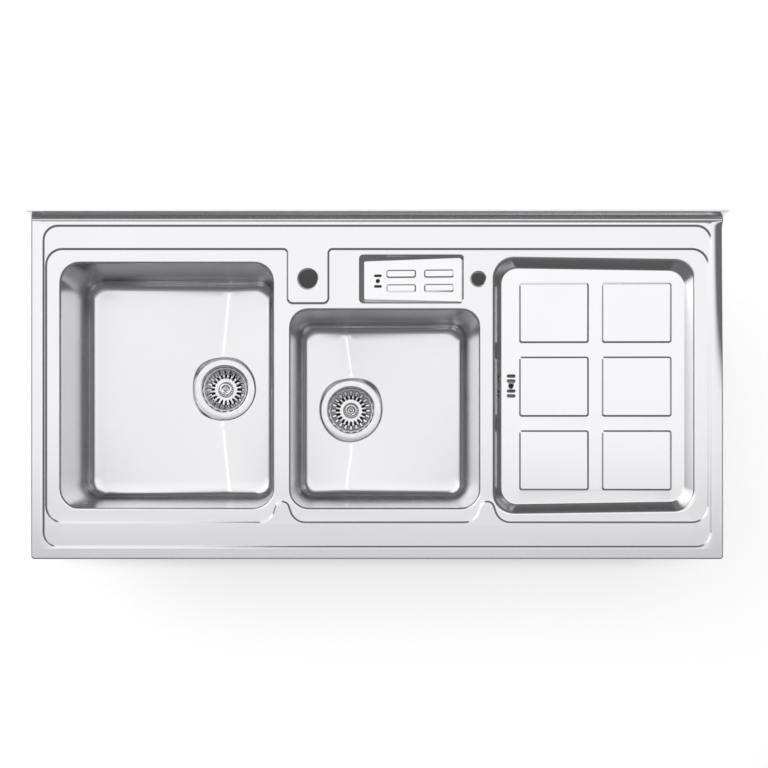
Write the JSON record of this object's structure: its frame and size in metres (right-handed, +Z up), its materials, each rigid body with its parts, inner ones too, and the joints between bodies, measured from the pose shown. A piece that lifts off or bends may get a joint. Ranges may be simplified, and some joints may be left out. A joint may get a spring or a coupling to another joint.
{
  "type": "three compartment sink",
  "caption": "Sit-on stainless kitchen sink pressed with a large bowl, a small bowl, a recessed drainer with raised squares and a soap tray, with lift-out basket wastes and drain hoses.",
  "frame": {"origin": "centre of the plane under the folded-in lip of the skirt, which rests on the cabinet", "axes": "+X along the deck from the large bowl to the drainer, +Y to the wall behind the sink, +Z up"},
  "size_m": [1.2, 0.6, 0.322],
  "materials": {
    "deck_steel": "brushed along the length, satin",
    "bowl_steel": "satin, brushed round the walls",
    "pan_steel": "satin",
    "polished_steel": "polished",
    "galvanised_steel": "galvanised, dull",
    "screw_steel": "bright zinc plate",
    "nut_brass": "machined",
    "black_rubber": "matt",
    "bitumen": "matt, embossed",
    "black_plastic": "moulded",
    "white_plastic": "moulded polypropylene",
    "hose_plastic": "corrugated, translucent white"
  },
  "bodies": {
    "root": {"deck": "deck_steel", "large_bowl": "bowl_steel", "small_bowl": "bowl_steel", "drainer_pan": "pan_steel", "soap_tray": "pan_steel", "tap_plate": "galvanised_steel", "front_stiffener": "galvanised_steel", "rear_stiffener": "galvanised_steel", "drainer_stiffener": "galvanised_steel", "large_sound_pad": "bitumen", "small_sound_pad": "bitumen", "large_strainer": "polished_steel", "large_flange_seal": "black_rubber", "large_lower_seal": "black_rubber", "large_waste_body": "white_plastic", "large_clamp_screw": "screw_steel", "large_clamp_nut": "nut_brass", "small_strainer": "polished_steel", "small_flange_seal": "black_rubber", "small_lower_seal": "black_rubber", "small_waste_body": "white_plastic", "small_clamp_screw": "screw_steel", "small_clamp_nut": "nut_brass", "drainer_collector": "white_plastic", "drainer_collector_seal": "black_rubber", "drainer_collector_screw": "screw_steel", "tray_collector": "white_plastic", "tray_collector_seal": "black_rubber", "tray_collector_screw": "screw_steel", "drainer_hose": "hose_plastic", "tray_hose": "hose_plastic", "hose_clips": "screw_steel"},
    "large_basket_body": {"large_basket": "polished_steel", "large_basket_knob": "polished_steel", "large_basket_stem": "black_plastic", "large_basket_plug": "black_rubber", "large_basket_rivet": "screw_steel"},
    "small_basket_body": {"small_basket": "polished_steel", "small_basket_knob": "polished_steel", "small_basket_stem": "black_plastic", "small_basket_plug": "black_rubber", "small_basket_rivet": "screw_steel"}
  },
  "joints": [
    {"name": "large_basket_lift", "type": "slide", "parent": "root", "child": "large_basket_body", "axis": [0, 0, 1], "range_m": [0, 0.25]},
    {"name": "small_basket_lift", "type": "slide", "parent": "root", "child": "small_basket_body", "axis": [0, 0, 1], "range_m": [0, 0.25]}
  ]
}
